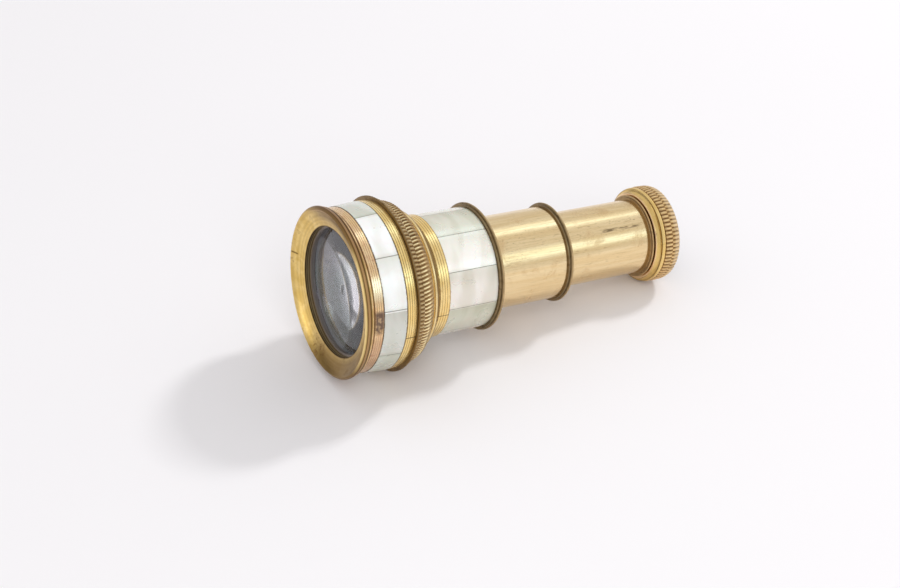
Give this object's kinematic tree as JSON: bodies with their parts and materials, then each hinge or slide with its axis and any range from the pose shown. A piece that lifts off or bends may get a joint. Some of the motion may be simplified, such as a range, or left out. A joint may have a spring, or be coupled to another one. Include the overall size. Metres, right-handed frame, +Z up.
{
  "type": "pocket spyglass",
  "caption": "Three-draw pocket spyglass with an objective bezel, pearl-plated drum and neck, milled rings, sliding brass draws and a milled eye cap.",
  "frame": {"origin": "on the floor under the middle of the part's box, as the spyglass lies with its draws out", "axes": "+X along the floor from the objective towards the eye, +Z up; the spyglass's own axis dips 6.7 degrees towards the eye, because it lies on its flange and eye cap"},
  "size_m": [0.1016, 0.045, 0.0458],
  "materials": {
    "gilt_brass": "gilt, satin, rubbed at the edges",
    "engine_turned_brass": "gilt with fine turned lines",
    "milled_brass": "milled, dark in the valleys",
    "dark_brass": "patinated brown",
    "tube_brass": "drawn, pale, with lengthwise marks",
    "inner_brass": "plain turned",
    "blackened_brass": "chemically blackened, matt",
    "drum_pearl": "polished mother-of-pearl",
    "neck_pearl": "polished mother-of-pearl",
    "optical_glass": "polished"
  },
  "bodies": {
    "barrel": {"front_bezel": "gilt_brass", "crown_lens": "optical_glass", "flint_lens": "optical_glass", "objective_retainer": "blackened_brass", "front_band": "engine_turned_brass", "drum_tube": "inner_brass", "drum_pearl_1": "drum_pearl", "drum_pearl_2": "drum_pearl", "drum_pearl_3": "drum_pearl", "drum_pearl_4": "drum_pearl", "drum_pearl_5": "drum_pearl", "drum_pearl_6": "drum_pearl", "drum_pearl_7": "drum_pearl", "drum_pearl_8": "drum_pearl", "drum_pearl_9": "drum_pearl", "drum_pearl_10": "drum_pearl", "rear_band": "engine_turned_brass", "drum_flange": "dark_brass", "drum_shoulder": "inner_brass", "milled_ring": "milled_brass", "bead_ring": "gilt_brass", "neck_tube": "inner_brass", "neck_band": "engine_turned_brass", "neck_pearl_1": "neck_pearl", "neck_pearl_2": "neck_pearl", "neck_pearl_3": "neck_pearl", "neck_pearl_4": "neck_pearl", "neck_pearl_5": "neck_pearl", "neck_pearl_6": "neck_pearl", "neck_pearl_7": "neck_pearl", "neck_pearl_8": "neck_pearl", "neck_pearl_9": "neck_pearl", "neck_pearl_10": "neck_pearl", "neck_collar": "dark_brass", "neck_bush": "inner_brass"},
    "draw_1": {"draw_1_tube": "tube_brass", "draw_1_stop": "inner_brass", "draw_1_collar": "dark_brass", "draw_1_bush": "inner_brass"},
    "draw_2": {"draw_2_tube": "tube_brass", "draw_2_stop": "inner_brass", "draw_2_collar": "dark_brass", "draw_2_bush": "inner_brass", "light_baffle": "blackened_brass"},
    "eye_draw": {"eye_tube": "tube_brass", "eye_stop": "inner_brass", "eye_cap": "gilt_brass", "cap_milled_rim": "milled_brass", "eye_lens": "optical_glass", "eye_lens_ring": "blackened_brass", "eye_plate": "blackened_brass"}
  },
  "joints": [
    {"name": "draw_1_slide", "type": "slide", "parent": "barrel", "child": "draw_1", "axis": [0.9931, 0, -0.1169], "range_m": [-0.0211, 0]},
    {"name": "draw_2_slide", "type": "slide", "parent": "draw_1", "child": "draw_2", "axis": [0.9931, 0, -0.1169], "range_m": [-0.0253, 0]},
    {"name": "eye_draw_slide", "type": "slide", "parent": "draw_2", "child": "eye_draw", "axis": [0.9931, 0, -0.1169], "range_m": [0, 0.0152]}
  ]
}
